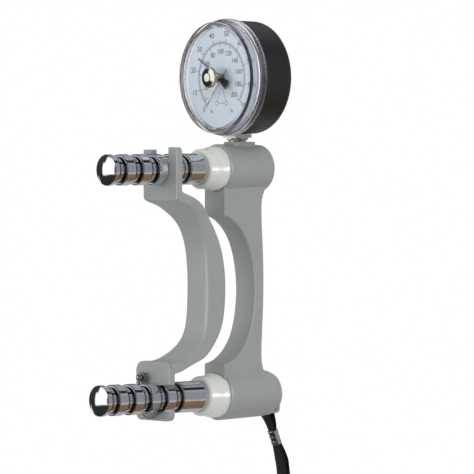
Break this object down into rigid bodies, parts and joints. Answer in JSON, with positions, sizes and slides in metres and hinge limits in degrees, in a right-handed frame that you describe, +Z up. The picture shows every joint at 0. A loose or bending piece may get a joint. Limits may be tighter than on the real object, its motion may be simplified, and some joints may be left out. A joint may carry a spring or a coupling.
{
  "type": "hydraulic hand dynamometer",
  "caption": "Grip strength tester: fixed palm handle, adjustable grip hooked on grooved posts, round dial gauge with peak-hold hand, reset knob and wrist strap.",
  "frame": {"origin": "the palm face of the fixed handle, on the symmetry plane, midway between the two post axes", "axes": "+Z up the length from the strap end to the gauge, -Y the way the posts and the dial face, +X to the right when facing the dial"},
  "size_m": [0.0726, 0.1795, 0.4136],
  "materials": {
    "body_paint": "satin light grey paint",
    "handle_paint": "satin light grey paint",
    "chrome": "polished",
    "nylon": "smooth off-white",
    "seal": "smooth",
    "spring_steel": "drawn wire",
    "steel": "turned",
    "socket_metal": "machined",
    "copper": "plain",
    "case": "satin black",
    "rubber_plug": "matt",
    "brass": "plain",
    "tube_metal": "drawn",
    "dial": "matt white with black scales",
    "hand_black": "matt black",
    "lens": "clear moulded",
    "knob": "polished",
    "webbing": "woven black",
    "crimp": "pressed"
  },
  "bodies": {
    "dynamometer_body": {"body_casting": "body_paint", "upper_bushing": "nylon", "lower_bushing": "nylon", "upper_return_spring": "spring_steel", "lower_return_spring": "spring_steel", "gauge_socket": "socket_metal", "socket_washer": "copper", "gauge_case": "case", "relief_plug": "rubber_plug", "bourdon_tube": "tube_metal", "movement_plates": "brass", "dial_plate": "dial", "dial_screws": "steel", "lens_gasket": "seal", "lens_cover": "lens", "knob_bush": "brass", "rear_plug": "steel", "strap_pin": "steel", "strap_anchor_loop": "webbing", "strap_crimp": "crimp", "wrist_strap": "webbing"},
    "upper_piston": {"upper_post": "chrome", "upper_piston_seal": "seal"},
    "lower_piston": {"lower_post": "chrome", "lower_piston_seal": "seal"},
    "grip_handle": {"adjustable_handle": "handle_paint", "clip_rivet": "steel"},
    "wire_clip": {"handle_clip": "spring_steel"},
    "reading_hand": {"pointer_arbor": "brass", "pointer": "hand_black"},
    "sector": {"sector_gear": "brass"},
    "link": {"movement_link": "brass"},
    "peak_reset": {"peak_hand": "hand_black", "reset_shaft": "steel", "reset_knob": "knob"}
  },
  "joints": [
    {"name": "upper_post_slide", "type": "slide", "parent": "dynamometer_body", "child": "upper_piston", "axis": [0, 1, 0], "range_m": [0, 0.0015], "stiffness_N_per_m": 20000, "deforming": ["upper_return_spring"]},
    {"name": "lower_post_slide", "type": "slide", "parent": "dynamometer_body", "child": "lower_piston", "axis": [0, 1, 0], "range_m": [0, 0.0015], "stiffness_N_per_m": 20000, "deforming": ["lower_return_spring"]},
    {"name": "handle_swing", "type": "hinge", "parent": "upper_piston", "child": "grip_handle", "pos_m": [0, -0.0742, 0.06985], "axis": [0, 1, 0], "range_deg": [0, 15]},
    {"name": "clip_turn", "type": "hinge", "parent": "grip_handle", "child": "wire_clip", "pos_m": [-0.0062, -0.0843, -0.05715], "axis": [0, 1, 0], "range_deg": [0, 105]},
    {"name": "reading_hand_turn", "type": "hinge", "parent": "dynamometer_body", "child": "reading_hand", "pos_m": [0, -0.0267, 0.126], "axis": [0, 1, 0], "range_deg": [0, 270]},
    {"name": "sector_turn", "type": "hinge", "parent": "dynamometer_body", "child": "sector", "pos_m": [0, -0.02, 0.1125], "axis": [0, 1, 0], "range_deg": [-33.75, 0]},
    {"name": "link_turn", "type": "hinge", "parent": "sector", "child": "link", "pos_m": [0.005, -0.0185, 0.1125], "axis": [0, 1, 0], "range_deg": [0, 47.6]},
    {"name": "peak_hand_turn", "type": "hinge", "parent": "dynamometer_body", "child": "peak_reset", "pos_m": [0, -0.0281, 0.126], "axis": [0, 1, 0], "range_deg": [-81.9, 188.1]}
  ],
  "couplings": [
    {"joint": "lower_post_slide", "follows": "upper_post_slide", "ratio": 1},
    {"joint": "reading_hand_turn", "follows": "upper_post_slide", "rad_per_m": 3141.6},
    {"joint": "sector_turn", "follows": "upper_post_slide", "rad_per_m": -392.7},
    {"joint": "link_turn", "follows": "upper_post_slide", "rad_per_m": 553.27},
    {"joint": "clip_turn", "follows": "handle_swing", "ratio": 7}
  ]
}
